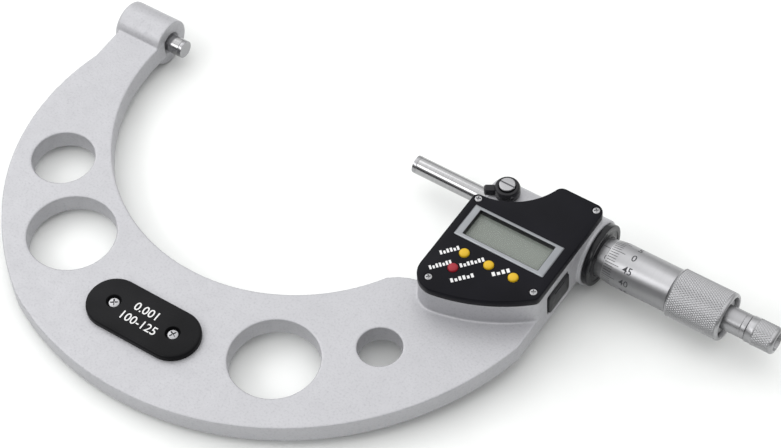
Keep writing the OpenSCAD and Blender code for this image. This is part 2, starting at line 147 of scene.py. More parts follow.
def housing_outline():
    """Function from an outward step to the points of the display housing's outline."""
    x0, x1, top = COVER_LOW.x, COVER_HIGH.x, COVER_HIGH.y
    low_c, low_r = (130.27, 10.11), 62.2
    hollow_c, hollow_r = (132.4, 12.8), 22.4

    def inside_low(x, r):
        return (x, low_c[1] - math.sqrt((low_r - r) ** 2 - (x - low_c[0]) ** 2))

    bl_r, br_r, tr_r, tl_r, lu_r = 8.0, 3.0, 3.5, 3.0, 2.2
    bl = inside_low(x0 + bl_r, bl_r)
    br = inside_low(x1 - br_r, br_r)
    tr = (x1 - tr_r, top - tr_r)
    tl_y = top - tl_r
    tl = (hollow_c[0] + math.sqrt((hollow_r + tl_r) ** 2 - (tl_y - hollow_c[1]) ** 2), tl_y)
    lu_x = x0 + lu_r
    lu = (lu_x, hollow_c[1] - math.sqrt((hollow_r + lu_r) ** 2 - (lu_x - hollow_c[0]) ** 2))

    def points(grow):
        return (
            arc(bl, bl_r + grow, 180, toward(low_c, bl), 12)
            + arc(low_c, low_r + grow, toward(low_c, bl), toward(low_c, br), 20)
            + arc(br, br_r + grow, toward(low_c, br), 360, 8)
            + arc(tr, tr_r + grow, 0, 90, 10)
            + arc(tl, tl_r + grow, 90, toward(tl, hollow_c), 10)
            + arc(hollow_c, hollow_r - grow, toward(hollow_c, tl), toward(hollow_c, lu), 24)
            + arc(lu, lu_r + grow, toward(lu, hollow_c), 180, 8)
        )
    return points


def soften(points, radius, closed=False, steps=4):
    """The same polyline with each corner turned into a small curve."""
    nearly_straight = 2.9
    out = []
    count = len(points)
    for i, p in enumerate(points):
        if not closed and i in (0, count - 1):
            out.append(tuple(p))
            continue
        here = Vector(p)
        before = Vector(points[i - 1]) - here
        after = Vector(points[(i + 1) % count]) - here
        if before.length < TINY or after.length < TINY or before.angle(after) > nearly_straight:
            out.append(tuple(p))
            continue
        cut = min(radius, 0.45 * before.length, 0.45 * after.length)
        start = here + before.normalized() * cut
        end = here + after.normalized() * cut
        for k in range(steps + 1):
            t = k / steps
            q = start * (1 - t) ** 2 + here * 2 * t * (1 - t) + end * t * t
            out.append(tuple(q))
    return out


def refined(points, step):
    """The same polyline with points added so that no stretch is longer than step."""
    out = [points[0]]
    for a, b in zip(points, points[1:]):
        count = max(1, math.ceil((Vector(b) - Vector(a)).length / step))
        out += [tuple(Vector(a).lerp(Vector(b), i / count)) for i in range(1, count + 1)]
    return out


# ---------- mesh makers ----------
def new_piece(name, bm, material, body, replaces=(), sharp=SHARP):
    """Turns a bmesh in millimetres into a piece that rides on a body."""
    bmesh.ops.remove_doubles(bm, verts=bm.verts, dist=SAME_PLACE)
    bmesh.ops.recalc_face_normals(bm, faces=bm.faces)
    bmesh.ops.scale(bm, vec=(MM, MM, MM), verts=bm.verts)
    mesh = bpy.data.meshes.new(name)
    bm.to_mesh(mesh)
    bm.free()
    mesh.shade_smooth()
    mesh.set_sharp_from_angle(angle=math.radians(sharp))
    obj = bpy.data.objects.new(name, mesh)
    bpy.context.scene.collection.objects.link(obj)
    mesh.materials.append(material)
    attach(obj, body)
    if replaces:
        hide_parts(*replaces)
    return obj


def add_loops(bm, loops):
    """Adds a tube of quads through loops of equal length; returns the rings of vertices."""
    rings = [[bm.verts.new(p) for p in loop] for loop in loops]
    for a, b in zip(rings, rings[1:]):
        count = len(a)
        for i in range(count):
            j = (i + 1) % count
            bm.faces.new((a[i], a[j], b[j], b[i]))
    return rings


def add_fill(bm, rings):
    """Fills the flat area between an outer ring and any rings inside it."""
    edges = []
    for ring in rings:
        for i, v in enumerate(ring):
            other = ring[(i + 1) % len(ring)]
            edges.append(bm.edges.get((v, other)) or bm.edges.new((v, other)))
    bmesh.ops.triangle_fill(bm, use_beauty=True, edges=edges)


def add_shell(bm, outline, sides, holes=(), blind=()):
    """A closed solid. sides is (outward step, z) from bottom to top.

    A hole is (outline, steps) with its steps from the top down. Holes go right through, and blind ones end
    in a floor.
    """
    outer = add_loops(bm, [[(x, y, z) for x, y in outline(g)] for g, z in sides])
    top, bottom = [outer[-1]], [outer[0]]
    for hole, steps in holes:
        rings = add_loops(bm, [[(x, y, z) for x, y in hole(g)] for g, z in steps])
        top.append(rings[0])
        bottom.append(rings[-1])
    for hole, steps in blind:
        rings = add_loops(bm, [[(x, y, z) for x, y in hole(g)] for g, z in steps])
        top.append(rings[0])
        add_fill(bm, [rings[-1]])
    add_fill(bm, top)
    add_fill(bm, bottom)


def add_lathe(bm, profile, axis="x", centre=(0, 0, 0), count=96, relief=None):
    """A solid turned about an axis. profile is (station, radius); radius 0 closes an end."""
    rings = []
    for s, r in profile:
        ring = []
        for i in range(count if r > TINY else 1):
            a = TAU * i / count
            rr = r - (relief(s, a, r) if relief else 0)
            p, q = rr * math.cos(a), rr * math.sin(a)
            point = (s, p, q) if axis == "x" else (p, q, s)
            ring.append(bm.verts.new(Vector(point) + Vector(centre)))
        rings.append(ring)
    closed = profile[0][1] > TINY and profile[-1][1] > TINY
    pairs = list(zip(rings, rings[1:])) + ([(rings[-1], rings[0])] if closed else [])
    for a, b in pairs:
        for i in range(count):
            j = (i + 1) % count
            quad = []
            for ring, k in ((a, i), (a, j), (b, j), (b, i)):
                v = ring[k % len(ring)]
                if v not in quad:
                    quad.append(v)
            if len(quad) > 2:
                bm.faces.new(quad)


def add_box(bm, low, high, turn=None):
    """A box between two corners, turned by a matrix if one is given."""
    corners = [Vector((x, y, z)) for z in (low[2], high[2]) for x, y in
               ((low[0], low[1]), (high[0], low[1]), (high[0], high[1]), (low[0], high[1]))]
    v = [bm.verts.new(turn @ c if turn else c) for c in corners]
    for quad in ((0, 3, 2, 1), (4, 5, 6, 7), (0, 1, 5, 4), (1, 2, 6, 5), (2, 3, 7, 6), (3, 0, 4, 7)):
        bm.faces.new([v[i] for i in quad])


def lathe_piece(name, profile, material, body, replaces=(), radius=0.15, axis="x",
                centre=(0, 0, 0), count=96):
    """One turned piece with softened corners."""
    closed = profile[0][1] > 0 and profile[-1][1] > 0
    bm = bmesh.new()
    add_lathe(bm, soften(profile, radius, closed), axis, centre, count)
    return new_piece(name, bm, material, body, replaces)


def cut_with(piece, bm_cutter):
    """Subtracts a cutter, given as a bmesh in millimetres, from a piece."""
    bmesh.ops.recalc_face_normals(bm_cutter, faces=bm_cutter.faces)
    bmesh.ops.scale(bm_cutter, vec=(MM, MM, MM), verts=bm_cutter.verts)
    mesh = bpy.data.meshes.new("cutter")
    bm_cutter.to_mesh(mesh)
    bm_cutter.free()
    cutter = bpy.data.objects.new("cutter", mesh)
    bpy.context.scene.collection.objects.link(cutter)
    mod = piece.modifiers.new("cut", "BOOLEAN")
    mod.object = cutter
    mod.solver = "EXACT"
    bake_modifiers(piece)
    bpy.data.objects.remove(cutter)
    piece.data.shade_smooth()
    piece.data.set_sharp_from_angle(angle=math.radians(SHARP))


def bake_modifiers(piece):
    """Replaces a piece's mesh with its evaluated one and drops its modifiers."""
    graph = bpy.context.evaluated_depsgraph_get()
    mesh = bpy.data.meshes.new_from_object(piece.evaluated_get(graph), depsgraph=graph)
    piece.modifiers.clear()
    piece.data = mesh


# ---------- materials ----------
def finish(name, colour, metallic, roughness, vary=0.05, vary_scale=60, grain=(), stretch=(1, 1, 1),
           rough_vary=0.06, rough_scale=250, edge_wear_and_highlight=None, coat=0.0, speckle=None, specular=0.5):
    """A procedural finish: colour and roughness that vary, layers of grain as bump, and edges lightened by
    pointiness, partly wear and partly a painted highlight.

    grain is (scale per metre, depth in millimetres) for each layer. speckle is (scale, colour, share).
    """
    mat = bpy.data.materials.new(name)
    mat.use_nodes = True
    tree = mat.node_tree
    make = tree.nodes.new
    link = tree.links.new
    shader = tree.nodes["Principled BSDF"]
    shader.inputs["Metallic"].default_value = metallic
    shader.inputs["Specular IOR Level"].default_value = specular
    shader.inputs["Coat Weight"].default_value = coat
    shader.inputs["Coat Roughness"].default_value = 0.06

    coords = make("ShaderNodeTexCoord")
    mapping = make("ShaderNodeMapping")
    mapping.inputs["Scale"].default_value = stretch
    link(coords.outputs["Object"], mapping.inputs["Vector"])

    def noise(scale, detail, stretched=True):
        node = make("ShaderNodeTexNoise")
        node.inputs["Scale"].default_value = scale
        node.inputs["Detail"].default_value = detail
        source = mapping.outputs["Vector"] if stretched else coords.outputs["Object"]
        link(source, node.inputs["Vector"])
        return node.outputs["Fac"]

    def remap(value, low, high, to_low, to_high):
        node = make("ShaderNodeMapRange")
        for key, number in (("From Min", low), ("From Max", high), ("To Min", to_low), ("To Max", to_high)):
            node.inputs[key].default_value = number
        link(value, node.inputs["Value"])
        return node.outputs["Result"]

    def mixed(factor, a, b):
        node = make("ShaderNodeMix")
        node.data_type = "RGBA"
        link(factor, node.inputs["Factor"])
        for socket, value in (("A", a), ("B", b)):
            target = [s for s in node.inputs if s.name == socket and s.type == "RGBA"][0]
            if isinstance(value, tuple):
                target.default_value = (*value, 1)
            else:
                link(value, target)
        return [s for s in node.outputs if s.type == "RGBA"][0]

    dark = tuple(c * (1 - vary) for c in colour)
    light = tuple(min(1, c * (1 + vary)) for c in colour)
    tone = mixed(remap(noise(vary_scale, 3), 0.35, 0.65, 0, 1), dark, light)
    if speckle:
        scale, spot, share = speckle
        tone = mixed(remap(noise(scale, 2, False), 0.5, 0.5 + 0.22 / share, 0, share), tone, spot)
    rough = remap(noise(rough_scale, 3), 0.3, 0.7, roughness - rough_vary, roughness + rough_vary)
    # painted highlight: pointy edges, such as the knurl's peaks, get a lighter colour that stands in for
    # light catching them, together with some wear
    if edge_wear_and_highlight:
        edge = make("ShaderNodeNewGeometry").outputs["Pointiness"]
        edge_highlight_share = remap(edge, 0.535, 0.61, 0, 0.8)
        tone = mixed(edge_highlight_share, tone, edge_wear_and_highlight)
    link(tone, shader.inputs["Base Color"])
    link(rough, shader.inputs["Roughness"])
    normal = None
    for scale, depth in grain:
        bump = make("ShaderNodeBump")
        bump.inputs["Distance"].default_value = depth * MM
        link(noise(scale, 2), bump.inputs["Height"])
        if normal:
            link(normal, bump.inputs["Normal"])
        normal = bump.outputs["Normal"]
    if normal:
        link(normal, shader.inputs["Normal"])
    return mat


# grain in fine rings about the spindle axis, as turning leaves it
TURNED = (40, 1, 1)
PAINT = finish("hammer_paint", (0.45, 0.45, 0.47), 0.4, 0.47, vary=0.015, vary_scale=45,
               grain=((1100, 0.045), (3600, 0.03)), speckle=(1300, (0.32, 0.32, 0.34), 0.65))
GROUND = finish("ground_steel", (0.38, 0.38, 0.385), 1.0, 0.13, grain=((90, 0.0005),), stretch=TURNED)
CARBIDE = finish("carbide", (0.34, 0.34, 0.35), 1.0, 0.22, grain=((1500, 0.004),))
HARD = finish("hardened_steel", (0.42, 0.42, 0.43), 1.0, 0.30, grain=((90, 0.002),), stretch=TURNED)
# the lighter colour on its pointy edges is a painted highlight on the knurls, together with some wear
CHROME = finish("satin_chrome", (0.35, 0.35, 0.36), 1.0, 0.36, vary=0.02, grain=((110, 0.0003),),
                stretch=TURNED, rough_vary=0.02, rough_scale=120, edge_wear_and_highlight=(0.66, 0.66, 0.67))
BLACK_GLOSS = finish("black_gloss", (0.012, 0.012, 0.014), 0.0, 0.22, vary=0.2, grain=((900, 0.01),),
                     coat=0.12, specular=0.18)
BRASS = finish("turned_brass", (0.66, 0.48, 0.20), 1.0, 0.28, grain=((90, 0.002),), stretch=TURNED)
SPRING = finish("spring_steel", (0.45, 0.45, 0.47), 1.0, 0.30, grain=((600, 0.004),))
DARK_STEEL = finish("blackened_steel", (0.14, 0.14, 0.15), 1.0, 0.34, grain=((700, 0.006),))
BOARD = finish("solder_mask", (0.02, 0.13, 0.05), 0.0, 0.30, vary=0.25, vary_scale=400, coat=0.3,
               grain=((700, 0.02),), speckle=(900, (0.10, 0.22, 0.08), 0.5))
COVER = finish("moulded_cover", (0.006, 0.006, 0.0085), 0.0, 0.36, vary=0.15,
               grain=((2600, 0.012), (700, 0.01)), specular=0.08)
RUBBER = finish("black_rubber", (0.015, 0.015, 0.015), 0.0, 0.75, grain=((1500, 0.02),))
BRIGHT = finish("bright_nickel", (0.34, 0.34, 0.35), 1.0, 0.26, grain=((700, 0.006),))
BEZEL = finish("satin_bezel", (0.25, 0.26, 0.275), 0.85, 0.36, grain=((2200, 0.006),))
STRIP = finish("contact_rubber", (0.55, 0.22, 0.27), 0.0, 0.7, vary=0.1, grain=((1500, 0.02),))
MAT_RUBBER = finish("keypad_rubber", (0.10, 0.10, 0.11), 0.0, 0.7, grain=((1500, 0.02),))
YELLOW = finish("button_yellow", (0.62, 0.39, 0.01), 0.0, 0.34, vary=0.04, grain=((2500, 0.008),),
                specular=0.35)
RED = finish("button_red", (0.30, 0.012, 0.024), 0.0, 0.34, vary=0.06, grain=((2500, 0.008),), specular=0.35)
PLASTIC = finish("drawer_plastic", (0.012, 0.012, 0.014), 0.0, 0.42, vary=0.15, grain=((2600, 0.015),),
                 specular=0.25)
CELL = finish("cell_steel", (0.60, 0.60, 0.61), 1.0, 0.24, grain=((700, 0.006),))
PLATE_BLACK = finish("plate_black", (0.010, 0.010, 0.011), 0.0, 0.30, vary=0.2, grain=((2400, 0.012),),
                     specular=0.07)
INK_WHITE = finish("white_print", (0.70, 0.70, 0.70), 0.0, 0.55, grain=((4000, 0.01),))
INK_BLACK = finish("black_filling", (0.03, 0.03, 0.035), 0.0, 0.6, vary=0.2, grain=((4000, 0.01),))
DISPLAY = finish("display_film", (0.185, 0.205, 0.18), 0.0, 0.32, vary=0.03, vary_scale=40,
                 grain=((5000, 0.002),), rough_vary=0.03)


def glass(name):
    """A clear window: mostly see-through, with a faint grain on its gloss."""
    mat = finish(name, (0.30, 0.33, 0.31), 0.0, 0.08, vary=0.02, grain=((300, 0.002),), rough_vary=0.02)
    mat.node_tree.nodes["Principled BSDF"].inputs["Alpha"].default_value = 0.08
    return mat


GLASS = glass("clear_window")


def paint_nodes(material, names):
    """Gives CAD nodes that keep their own shape a finish."""
    for name in names:
        mesh = nodes[name].data
        mesh.materials.clear()
        mesh.materials.append(material)
        mesh.shade_smooth()
        mesh.set_sharp_from_angle(angle=math.radians(30))


# ---------- cast frame ----------
def cast_frame():
    """The casting: the CAD frame with every edge and inner corner softened, as a sand casting has."""
    mesh = nodes["frame"].data.copy()
    mesh.name = "cast_frame"
    obj = bpy.data.objects.new("cast_frame", mesh)
    bpy.context.scene.collection.objects.link(obj)
    remesh = obj.modifiers.new("remesh", "REMESH")
    remesh.mode = "VOXEL"
    remesh.voxel_size = 0.33 * MM
    smooth = obj.modifiers.new("smooth", "SMOOTH")
    smooth.factor = 0.5
    smooth.iterations = 6
    bake_modifiers(obj)
    obj.data.materials.clear()
    obj.data.materials.append(PAINT)
    obj.data.shade_smooth()
    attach(obj, "base")
    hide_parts("frame")


# ---------- measuring line ----------
def pin(name, node, radius, material, body, edge):
    """A plain round pin with softened ends, in place of a CAD node."""
    low, high = cad(node)
    profile = [(low.x, 0), (low.x, radius), (high.x, radius), (high.x, 0)]
    lathe_piece(name, profile, material, body, [node], edge)


def measuring_line():
    """Anvil, spindle and their lapped tips, with a small curve on each shoulder."""
    pin("anvil_pin", "anvil", PIN_R, GROUND, "base", 0.12)
    pin("anvil_face", "anvil_tip", cad("anvil_tip")[1].z, CARBIDE, "base", 0.15)
    pin("spindle_rod", "spindle", PIN_R, GROUND, "spindle", 0.12)
    pin("spindle_face", "spindle_tip", cad("spindle_tip")[1].z, CARBIDE, "spindle", 0.15)


# ---------- flange, sleeve and thimble ----------
def thimble_radius(x):
    """Outer radius of the thimble at a station."""
    edge_r = SLEEVE_R + 0.2
    t = min(max((x - THIMBLE_LOW.x) / (BEVEL_X - THIMBLE_LOW.x), 0), 1)
    return edge_r + (THIMBLE_R - edge_r) * t


def sleeve_radius(_):
    """Outer radius of the sleeve, the same at every station."""
    return SLEEVE_R


def add_sliver(bm, rows):
    """A thin closed solid through rows of four points."""
    rings = add_loops(bm, rows)
    bm.faces.new(rings[0])
    bm.faces.new(rings[-1])


def add_line(bm, radius, x0, x1, angle, width):
    """A line along the axis on a turned surface."""
    low, high = -MARK_ROOT, MARK_RISE
    rows = []
    for x in (x0, x1):
        r = radius(x)
        a = width / 2 / r
        corners = ((r + low, -a), (r + high, -a), (r + high, a), (r + low, a))
        rows.append([(x, rr * math.cos(angle + aa), rr * math.sin(angle + aa)) for rr, aa in corners])
    add_sliver(bm, rows)


def add_arc_line(bm, x, a0, a1, width):
    """A line around the sleeve at one station."""
    start, end = sorted((a0, a1))
    low, high = SLEEVE_R - MARK_ROOT, SLEEVE_R + MARK_RISE
    half = width / 2
    steps = 4
    rows = []
    for k in range(steps + 1):
        a = start + (end - start) * k / steps
        corners = ((low, -half), (high, -half), (high, half), (low, half))
        rows.append([(x + dx, r * math.cos(a), r * math.sin(a)) for r, dx in corners])
    add_sliver(bm, rows)


def glyphs(text, size):
    """Vertices and faces of a short number, centred on the origin, extruded a little."""
    curve = bpy.data.curves.new("glyphs", "FONT")
    curve.body = text
    curve.size = size
    curve.offset = 0.03
    curve.align_x = "CENTER"
    curve.align_y = "CENTER"
    curve.extrude = 0.5
    curve.resolution_u = 3
    obj = bpy.data.objects.new("glyphs", curve)
    bpy.context.scene.collection.objects.link(obj)
    graph = bpy.context.evaluated_depsgraph_get()
    mesh = bpy.data.meshes.new_from_object(obj.evaluated_get(graph), depsgraph=graph)
    bm = bmesh.new()
    bm.from_mesh(mesh)
    # cut across, so that the number can bend around a round surface
    strip = 0.3
    count = math.ceil(size / strip)
    for i in range(1, 2 * count):
        level = size * (i / count - 1) / 1.6
        parts = bm.verts[:] + bm.edges[:] + bm.faces[:]
        bmesh.ops.bisect_plane(bm, geom=parts, dist=SAME_PLACE, plane_co=(0, level, 0), plane_no=(0, 1, 0))
    bm.verts.index_update()
    verts = [v.co.copy() for v in bm.verts]
    faces = [tuple(v.index for v in f.verts) for f in bm.faces]
    bm.free()
    bpy.data.objects.remove(obj)
    bpy.data.meshes.remove(mesh)
    return verts, faces


def add_number(bm, text, size, place):
    """Adds a number to a bmesh; place maps (right, up, height) to a point, height being 0 or 1."""
    verts, faces = glyphs(text, size)
    made = [bm.verts.new(place(v.x, v.y, 1 if v.z > 0 else 0)) for v in verts]
    for face in faces:
        bm.faces.new([made[i] for i in face])


def on_round(x, angle, radius):
    """Place function for a number that reads along the axis, with its top away from +Z towards +Y."""
    def place(right, up, height):
        r = radius(x + right) + (MARK_RISE if height else -0.03)
        a = angle - up / radius(x)
        return (x + right, r * math.cos(a), r * math.sin(a))
    return place


def knurl(x0, x1, starts, pitch, depth):
    """Depth function of a diamond knurl between two stations."""
    run_out = 0.35

    def wave(t):
        return abs(2 * (t - math.floor(t)) - 1)

    def relief(x, a, r):
        if not x0 <= x <= x1:
            return 0
        fade = min(1, (x - x0) / run_out, (x1 - x) / run_out)
        turn = a * starts / TAU
        along = (x - x0) / pitch
        return depth * fade * max(wave(turn + along), wave(turn - along))
    return relief


def flange():
    """The black ring behind the sleeve, with a stepped face."""
    x0, x1, r = FLANGE_LOW.x, FLANGE_HIGH.x, FLANGE_HIGH.z
    face_x = x1 - 0.3
    bm = bmesh.new()
    profile = [(x0, SLEEVE_R + 0.03), (x0, r), (face_x, r), (face_x, r - 1.6), (face_x - 0.25, r - 1.9),
               (face_x - 0.25, 8.2), (x1, 7.8), (x1, SLEEVE_R + 0.03)]
    add_lathe(bm, soften(profile, 0.28, True), count=128)
    new_piece("flange", bm, BLACK_GLOSS, "base", ["flange_ring"])


def sleeve():
    """The sleeve, with its index line and scale of 25 divisions, whole on one side and half on the other."""
    bore = 6.53
    low, high = SLEEVE_LOW.x, SLEEVE_HIGH.x
    lathe_piece("scale_sleeve", [(low, bore), (low, SLEEVE_R), (high, SLEEVE_R), (high, bore)],
                CHROME, "base", ["sleeve"], 0.1)
    zero_x = THIMBLE_LOW.x - 0.1
    mark_w = 0.16
    bm = bmesh.new()
    add_line(bm, sleeve_radius, FLANGE_HIGH.x + 0.1, high - 0.5, INDEX_ANGLE, LINE_W)
    for i in range(26):
        span = 0.30 if i % 5 == 0 else 0.19
        add_arc_line(bm, zero_x + i, INDEX_ANGLE, INDEX_ANGLE + span, mark_w)
        add_arc_line(bm, zero_x + i + 0.5, INDEX_ANGLE, INDEX_ANGLE - 0.17, mark_w)
        if i % 5 == 0 and i < 25:
            add_number(bm, str(i), 1.9, on_round(zero_x + i, INDEX_ANGLE + 0.50, sleeve_radius))
    new_piece("sleeve_scale_marks", bm, INK_BLACK, "base")


def thimble():
    """The graduated thimble with its knurled grip, and its marks and numbers."""
    x0, x1 = THIMBLE_LOW.x, THIMBLE_HIGH.x
    inner = SLEEVE_R + 0.07
    bore = PIN_R + 0.01
    hub_x = 208
    recess_x, recess_r = 221.1, 7.3
    knurl_x0, knurl_x1 = GRIP_X + 0.75, x1 - 0.9
    starts = 60
    outside = [(x0, inner), (x0, inner + 0.13), (BEVEL_X, THIMBLE_R), (GRIP_X - 0.05, THIMBLE_R),
               (GRIP_X + 0.15, THIMBLE_R + 0.1), (knurl_x0, GRIP_R)]
    grip = refined([(knurl_x0, GRIP_R), (knurl_x1, GRIP_R)], 0.15)[1:]
    back = [(x1 - 0.35, GRIP_R - 0.18), (x1, GRIP_R - 0.55), (x1, recess_r + 0.15), (x1 - 0.15, recess_r),
            (recess_x, recess_r), (recess_x, bore), (hub_x, bore), (hub_x, inner)]
    relief = knurl(knurl_x0, knurl_x1, starts, 1.5, 0.32)
    bm = bmesh.new()
    add_lathe(bm, outside + grip + back, count=starts * 6, relief=relief)
    new_piece("thimble_body", bm, CHROME, "spindle", ["thimble"], sharp=50)

    divisions = 50
    long_line_x, number_x = 184.0, 187.4
    bm = bmesh.new()
    for i in range(divisions):
        angle = INDEX_ANGLE - i * TAU / divisions
        add_line(bm, thimble_radius, x0 + 0.35, BEVEL_X, angle, LINE_W)
        if i % 5 == 0:
            add_line(bm, thimble_radius, BEVEL_X, long_line_x, angle, LINE_W)
            add_number(bm, str(i), 3.6, on_round(number_x, angle, thimble_radius))
    new_piece("thimble_marks", bm, INK_BLACK, "spindle")


# ---------- ratchet ----------
def ratchet():
    """Neck, knurled knob and slotted stud of the ratchet stop."""
    low, high = cad("ratchet_neck")
    hole, body_r, pocket_r = 1.52, 4.4, 3.4
    pocket_x = 224
    neck = [(low.x, hole), (low.x, 6.2), (low.x + 1, 6.2), (low.x + 1, body_r), (high.x - 1.9, body_r),
            (high.x - 1.75, body_r - 0.15), (high.x - 1.6, body_r), (high.x, body_r), (high.x, pocket_r),
            (pocket_x, pocket_r), (pocket_x, hole)]
    lathe_piece("ratchet_sleeve", neck, CHROME, "spindle", ["ratchet_neck"], 0.12)

    x0, x1, r = KNOB_LOW.x, KNOB_HIGH.x, KNOB_HIGH.z
    hole = 1.57
    recess_x, recess_r = 238.8, 3.3
    collar_x = x0 + 2.2
    knurl_x0, knurl_x1 = collar_x + 0.35, x1 - 1.1
    starts = 34
    outside = [(x0, hole), (x0, r - 0.4), (x0 + 0.3, r - 0.12), (collar_x, r - 0.12), (knurl_x0, r)]
    grip = refined([(knurl_x0, r), (knurl_x1, r)], 0.14)[1:]
    back = [(x1 - 0.6, r - 0.1), (x1 - 0.1, r - 0.5), (x1, r - 0.75), (x1, recess_r + 0.1),
            (x1 - 0.12, recess_r), (recess_x, recess_r), (recess_x, hole)]
    relief = knurl(knurl_x0, knurl_x1, starts, 1.5, 0.24)
    bm = bmesh.new()
    add_lathe(bm, outside + grip + back, count=starts * 6, relief=relief)
    new_piece("ratchet_grip", bm, CHROME, "ratchet", ["ratchet_knob"], sharp=50)

    low, high = cad("ratchet_stud")
    head_x, head_r = 238.87, high.z
    profile = [(low.x, 0), (low.x, 1.5), (head_x, 1.5), (head_x, head_r), (high.x, head_r), (high.x, 0)]
    stud = lathe_piece("ratchet_screw", profile, DARK_STEEL, "spindle", ["ratchet_stud"], 0.2)
    slot = bmesh.new()
    add_box(slot, (high.x - 0.5, -4, -0.35), (high.x + 1, 4, 0.35))
    cut_with(stud, slot)


# ---------- display unit ----------
def cross_head(bm, centre, radius, low, high, cross, angle):
    """A pan head with a cross recess, added to a bmesh."""
    length, width, depth = cross
    tall = high - low
    sides = [(0, low), (0, high - tall * 0.45), (-0.06 * radius, high - tall * 0.2),
             (-0.16 * radius, high - tall * 0.05), (-0.27 * radius, high)]
    recess = [(0, high), (-0.05, high - depth * 0.6), (-width * 0.35, high - depth)]
    add_shell(bm, circle(centre, radius, 36), sides, blind=[(plus(centre, length, width, angle), recess)])


def front_cover():
    """The moulded cover with its button holes, screw holes and display opening, and its screws."""
    outline = housing_outline()
    sides = [(-0.06, RIM_Z), (0, RIM_Z + 0.08), (0, COVER_Z - 0.5), (-0.06, COVER_Z - 0.26),
             (-0.16, COVER_Z - 0.09), (-0.3, COVER_Z)]
    holes = []
    for name in BUTTONS:
        low, high = cad(name)
        c = (low + high) / 2
        holes.append((circle(c, BUTTON_R + 0.08), [(0.1, COVER_Z), (0, COVER_Z - 0.12), (0, RIM_Z)]))
    for c in COVER_SCREWS:
        bore = [(0.58, COVER_Z), (0.52, COVER_Z - 0.1), (0.52, COVER_Z - 0.9), (0, COVER_Z - 0.9), (0, RIM_Z)]
        holes.append((circle(c, 0.95), bore))
    shelf = COVER_Z - 0.4
    seat = rectangle(LCD, 33.2, 12.8, 0.05, 1)
    holes.append((seat, [(0.77, COVER_Z), (0.77, shelf), (0, shelf), (0, RIM_Z)]))
    bm = bmesh.new()
    add_shell(bm, outline, sides, holes)
    new_piece("moulded_front", bm, COVER, "base", ["front_cover"])

    bm = bmesh.new()
    for c, turn in zip(COVER_SCREWS, SCREW_TURNS):
        cross_head(bm, c, 1.4, COVER_Z - 0.89, COVER_Z + 0.1, (1.7, 0.36, 0.55), turn)
        add_lathe(bm, [(7.5, 0), (7.5, 0.8), (COVER_Z - 0.9, 0.8), (COVER_Z - 0.9, 0)], "z", (*c, 0), 24)
    new_piece("cover_cross_screws", bm, BRIGHT, "base", ["cover_screws"])


def display():
    """Bezel with bevelled outer edges, black liner that also stands in for the shade inside the recess,
    window and display film.
    """
    x = LCD_HIGH.x - LCD_LOW.x
    y = LCD_HIGH.y - LCD_LOW.y
    top = LCD_HIGH.z
    opening = rectangle(LCD, WINDOW[0], WINDOW[1], 0.25, 3)
    outer = rectangle(LCD, x, y, 0.35, 3)
    sides = [(0, COVER_Z - 0.38), (0, top - 0.34), (-0.05, top - 0.28), (-0.38, top - 0.03), (-0.45, top)]
    lip = [(0.05, top), (0.0, top - 0.05), (0.0, COVER_Z - 0.38)]
    bm = bmesh.new()
    add_shell(bm, outer, sides, [(opening, lip)])
    new_piece("display_bezel", bm, BEZEL, "base", ["lcd_bezel"])

    floor = cad("lcd_panel")[1].z
    # black walls inside the bezel opening: a dark sheet that partly stands in for the shade falling inside
    # the recess
    bm = bmesh.new()
    add_shell(bm, opening, [(-0.02, floor + 0.02), (-0.02, top - 0.12)],
              [(opening, [(-0.14, top - 0.12), (-0.22, floor + 0.02)])])
    new_piece("display_shade_liner", bm, PLASTIC, "base")
    paint_nodes(GLASS, ["lcd_window"])
    paint_nodes(DISPLAY, ["lcd_panel"])


def buttons():
    """Four domed buttons, each on its own body."""
    rows = (("key_left", YELLOW, "button_yellow"), ("key_middle", YELLOW, "button_yellow"),
            ("key_right", YELLOW, "button_yellow"), ("key_lower", RED, "button_red"))
    for node, (body, material, slot) in zip(BUTTONS, rows):
        low, high = cad(node)
        c = (low + high) / 2
        rise = high.z - COVER_Z
        dome = [(COVER_Z + rise * math.sin(t), BUTTON_R * math.cos(t) ** 0.75)
                for t in [math.radians(a) for a in range(10, 90, 10)]]
        foot_r = 2.6
        foot_z = RIM_Z - 0.75
        profile = [(low.z, 0), (low.z, foot_r), (foot_z, foot_r), (foot_z, BUTTON_R), (COVER_Z, BUTTON_R)]
        bm = bmesh.new()
        add_lathe(bm, profile + dome + [(high.z, 0)], "z", (c.x, c.y, 0), 48)
        new_piece(node + "_cap", bm, material, body, [node], sharp=60)


def cover_marks():
    """Printed key legends, as rows of plain bars that say nothing."""
    rows = (((134.4, -37.3), (139.0, -31.9), 6), ((142.9, -38.3), (148.6, -31.6), 7),
            ((153.7, -35.8), (158.2, -30.9), 4), ((134.7, -44.2), (139.9, -38.1), 7),
            ((143.5, -45.0), (149.1, -38.8), 6))
    bm = bmesh.new()
    for start, end, count in rows:
        a, b = Vector(start), Vector(end)
        along = (b - a).normalized()
        pitch = (b - a).length / count
        slope = math.atan2(along.y, along.x)
        for i in range(count):
            c = a + along * pitch * (i + 0.5)
            turn = Matrix.Translation((c.x, c.y, COVER_Z)) @ Matrix.Rotation(slope, 4, "Z")
            tall = 1.65 if i % 3 != 1 else 1.2
            add_box(bm, (-pitch * 0.32, -0.8, -MARK_ROOT), (pitch * 0.32, tall - 0.8, MARK_RISE), turn)
    new_piece("key_legend_bars", bm, INK_WHITE, "base")


